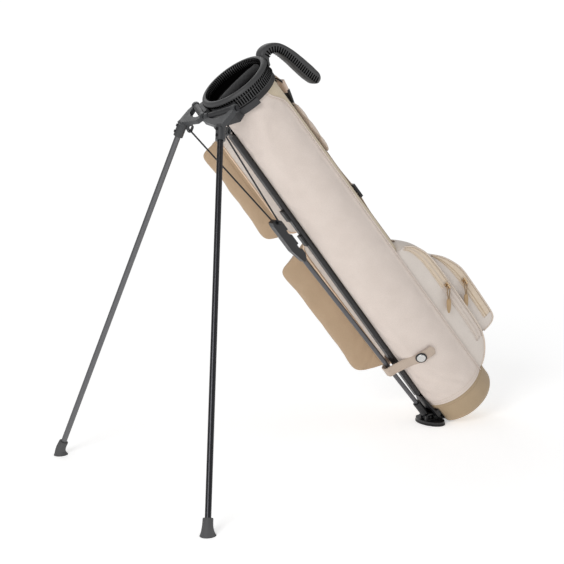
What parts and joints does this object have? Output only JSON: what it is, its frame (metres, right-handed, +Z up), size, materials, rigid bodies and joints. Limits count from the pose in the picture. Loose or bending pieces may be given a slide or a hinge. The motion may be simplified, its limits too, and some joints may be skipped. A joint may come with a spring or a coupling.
{
  "type": "golf stand bag",
  "caption": "Slim light golf stand bag on two folding legs, with a moulded two-way collar, hook handle, side and back pockets and a rocking shoe that works the legs.",
  "frame": {"origin": "centre of the overall box in plan, on the ground", "axes": "+Z up; the bag leans towards -X onto its legs, its pockets and strap face +X; +Y is the side of the two deep side pockets"},
  "size_m": [0.8622, 0.625, 0.802],
  "materials": {
    "collar_plastic": "fine grained moulded plastic",
    "black_nylon": "moulded glass-filled nylon",
    "black_mesh": "black spacer mesh",
    "cream_canvas": "fine plain-weave coated canvas, cream",
    "tan_canvas": "plain-weave canvas, tan",
    "tan_webbing": "woven webbing",
    "leg_aluminium": "dark anodised",
    "black_steel": "blackened",
    "black_rubber": "moulded rubber",
    "rail_plastic": "smooth black plastic",
    "stay_fibre": "pultruded fibre rod",
    "snap_metal": "plated press stud",
    "zip_tape": "woven zip tape, sand",
    "zip_metal": "sand coloured plating"
  },
  "bodies": {
    "bag": {"top_ring": "collar_plastic", "collar_band": "collar_plastic", "lift_handle": "collar_plastic", "divider_bar": "black_mesh", "divider_panel": "black_mesh", "leg_bracket": "black_nylon", "near_side_panel": "cream_canvas", "back_panel": "cream_canvas", "front_panel": "cream_canvas", "body_stays": "stay_fibre", "spine_rail": "rail_plastic", "rail_clips": "black_nylon", "base_cup": "tan_canvas", "base_plate": "black_nylon", "base_bracket": "black_nylon", "foot_hinge_pin": "black_steel", "far_upper_pocket": "tan_canvas", "far_lower_pocket": "tan_canvas", "back_inner_pocket": "cream_canvas", "back_outer_pocket": "cream_canvas", "leg_strap": "tan_webbing", "strap_snap": "snap_metal", "strap_ring": "black_steel", "strap_anchor": "tan_webbing", "strap_top": "tan_webbing", "strap_pad": "cream_canvas", "strap_tail": "tan_webbing", "strap_buckle": "rail_plastic", "strap_foot": "tan_webbing", "far_side_panel": "cream_canvas", "near_leg_pin": "black_steel", "far_leg_pin": "black_steel", "back_inner_zip": "zip_tape", "back_outer_zip": "zip_tape", "far_upper_zip": "zip_tape", "far_lower_zip": "zip_tape"},
    "near_leg": {"near_knuckle": "black_nylon", "near_leg_tube": "leg_aluminium", "near_knuckle_screws": "black_steel", "near_foot": "black_rubber"},
    "far_leg": {"far_knuckle": "black_nylon", "far_leg_tube": "leg_aluminium", "far_knuckle_screws": "black_steel", "far_foot": "black_rubber"},
    "pusher": {"joiner": "black_nylon", "push_rod": "leg_aluminium", "rod_end": "black_nylon"},
    "shoe": {"rocker_shoe": "black_nylon", "shoe_pad": "black_rubber"},
    "near_wire": {"near_wire": "black_steel"},
    "far_wire": {"far_wire": "black_steel"},
    "back_inner_slider": {"back_inner_slider": "zip_metal"},
    "back_inner_pull": {"back_inner_pull": "zip_metal"},
    "back_outer_slider": {"back_outer_slider": "zip_metal"},
    "back_outer_pull": {"back_outer_pull": "zip_metal"},
    "far_upper_slider": {"far_upper_slider": "zip_metal"},
    "far_upper_pull": {"far_upper_pull": "zip_metal"},
    "far_lower_slider": {"far_lower_slider": "zip_metal"},
    "far_lower_pull": {"far_lower_pull": "zip_metal"}
  },
  "joints": [
    {"name": "near_leg_fold", "type": "hinge", "parent": "bag", "child": "near_leg", "pos_m": [-0.20445, -0.03228, 0.67995], "axis": [0.3069, -0.9232, 0.2313], "range_deg": [0, 55.8]},
    {"name": "far_leg_fold", "type": "hinge", "parent": "bag", "child": "far_leg", "pos_m": [-0.20445, 0.03228, 0.67995], "axis": [-0.3069, -0.9232, -0.2313], "range_deg": [0, 55.8]},
    {"name": "push_rod_slide", "type": "slide", "parent": "bag", "child": "pusher", "axis": [0.6018, 0, -0.7986], "range_m": [0, 0.0211]},
    {"name": "shoe_rock", "type": "hinge", "parent": "bag", "child": "shoe", "pos_m": [0.3165, 0, 0.01446], "axis": [0, -1, 0], "range_deg": [0, 37]},
    {"name": "near_wire_swing", "type": "hinge", "parent": "pusher", "child": "near_wire", "pos_m": [-0.07032, -0.0115, 0.46298], "axis": [-0.4399, 0.8965, -0.0525], "range_deg": [0, 8.37]},
    {"name": "far_wire_swing", "type": "hinge", "parent": "pusher", "child": "far_wire", "pos_m": [-0.07032, 0.0115, 0.46298], "axis": [0.4399, 0.8965, 0.0525], "range_deg": [0, 8.37]},
    {"name": "back_inner_zip_run", "type": "slide", "parent": "bag", "child": "back_inner_slider", "axis": [0.6018, 0, -0.7986], "range_m": [0, 0.141]},
    {"name": "back_inner_pull_flap", "type": "hinge", "parent": "back_inner_slider", "child": "back_inner_pull", "pos_m": [0.29566, -0.0628, 0.29801], "axis": [-0.7986, 0, -0.6018], "range_deg": [0, 85]},
    {"name": "back_outer_zip_run", "type": "slide", "parent": "bag", "child": "back_outer_slider", "axis": [0.6018, 0, -0.7986], "range_m": [0, 0.09]},
    {"name": "back_outer_pull_flap", "type": "hinge", "parent": "back_outer_slider", "child": "back_outer_pull", "pos_m": [0.35066, -0.0508, 0.29814], "axis": [-0.7986, 0, -0.6018], "range_deg": [0, 85]},
    {"name": "far_upper_zip_run", "type": "slide", "parent": "bag", "child": "far_upper_slider", "axis": [0.6018, 0, -0.7986], "range_m": [0, 0.15]},
    {"name": "far_upper_pull_flap", "type": "hinge", "parent": "far_upper_slider", "child": "far_upper_pull", "pos_m": [-0.06848, 0.14198, 0.60085], "axis": [0.7959, 0.083, 0.5997], "range_deg": [0, 85]},
    {"name": "far_lower_zip_run", "type": "slide", "parent": "bag", "child": "far_lower_slider", "axis": [0.6018, 0, -0.7986], "range_m": [0, 0.2]},
    {"name": "far_lower_pull_flap", "type": "hinge", "parent": "far_lower_slider", "child": "far_lower_pull", "pos_m": [0.12415, 0.15698, 0.34532], "axis": [0.7964, 0.074, 0.6002], "range_deg": [0, 85]}
  ],
  "couplings": [
    {"joint": "far_leg_fold", "follows": "near_leg_fold", "ratio": 1},
    {"joint": "push_rod_slide", "follows": "near_leg_fold", "m_per_rad": 0.021666},
    {"joint": "shoe_rock", "follows": "near_leg_fold", "ratio": 0.66308},
    {"joint": "near_wire_swing", "follows": "near_leg_fold", "ratio": 0.15008},
    {"joint": "far_wire_swing", "follows": "near_leg_fold", "ratio": 0.15008}
  ]
}
